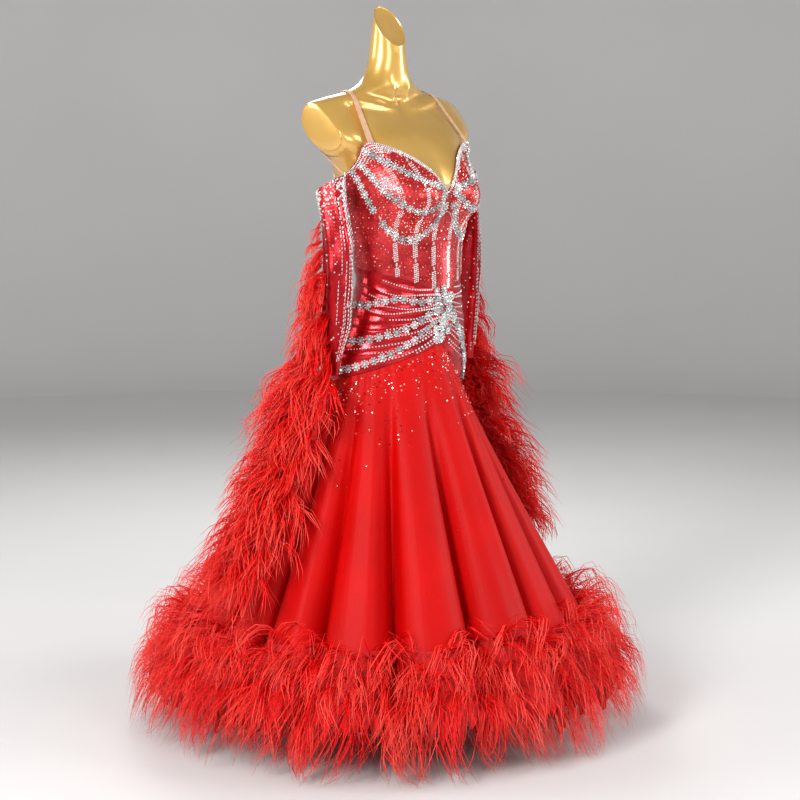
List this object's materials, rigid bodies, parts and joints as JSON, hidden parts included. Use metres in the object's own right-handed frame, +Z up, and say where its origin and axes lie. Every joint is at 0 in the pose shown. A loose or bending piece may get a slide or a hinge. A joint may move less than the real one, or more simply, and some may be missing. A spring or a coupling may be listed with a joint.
{
  "type": "ballroom dance dress on a dress form",
  "caption": "Floor-length dance dress with jewelled corset bodice, gathered hip band, fluted skirt, hanging sleeves and feathered floats and hem, on a limbless form and stand.",
  "frame": {"origin": "centre of the stand base's underside, on the floor", "axes": "+Z up, the front of the dress faces -Y, the wearer's left is +X"},
  "size_m": [1.0985, 1.091, 1.5102],
  "materials": {
    "gold": "glossy gold paint on a smooth moulded shell",
    "steel": "satin steel",
    "stone_cloth": "red foiled stretch cloth set with small stones",
    "lame": "shiny red foiled stretch cloth",
    "crepe": "soft matt-satin red crepe",
    "feather": "red ostrich feather",
    "nude": "skin-coloured elastic and mesh",
    "crystal": "clear crystals in silver settings"
  },
  "bodies": {
    "root": {"form_torso": "gold", "stand_base": "steel", "stand_pole": "steel", "stand_flange": "steel", "cup_right": "stone_cloth", "cup_left": "stone_cloth", "bodice_front_right": "stone_cloth", "bodice_front_left": "stone_cloth", "bodice_side_right": "stone_cloth", "bodice_side_left": "stone_cloth", "bodice_back_right": "stone_cloth", "bodice_back_left": "stone_cloth", "drape_front_right": "lame", "drape_front_left": "lame", "drape_back": "lame", "sleeve_right": "lame", "sleeve_left": "lame", "skirt_gore_1": "crepe", "skirt_gore_2": "crepe", "skirt_gore_3": "crepe", "skirt_gore_4": "crepe", "skirt_gore_5": "crepe", "skirt_gore_6": "crepe", "skirt_gore_7": "crepe", "skirt_gore_8": "crepe", "skirt_gore_9": "crepe", "hem_feathers_upper": "feather", "hem_feathers_lower": "feather", "float_upper_right": "feather", "float_lower_right": "feather", "float_upper_left": "feather", "float_lower_left": "feather", "strap_right": "nude", "strap_left": "nude", "sleeve_strap_right": "nude", "sleeve_strap_left": "nude", "notch_mesh": "nude", "gather_cluster": "crystal", "hip_chain_upper": "crystal", "hip_chain_middle": "crystal", "hip_chain_lower": "crystal", "hip_chain_left": "crystal", "swag_upper_right": "crystal", "swag_upper_left": "crystal", "swag_middle_right": "crystal", "swag_middle_left": "crystal", "swag_lower_right": "crystal", "swag_lower_left": "crystal"}
  },
  "joints": []
}
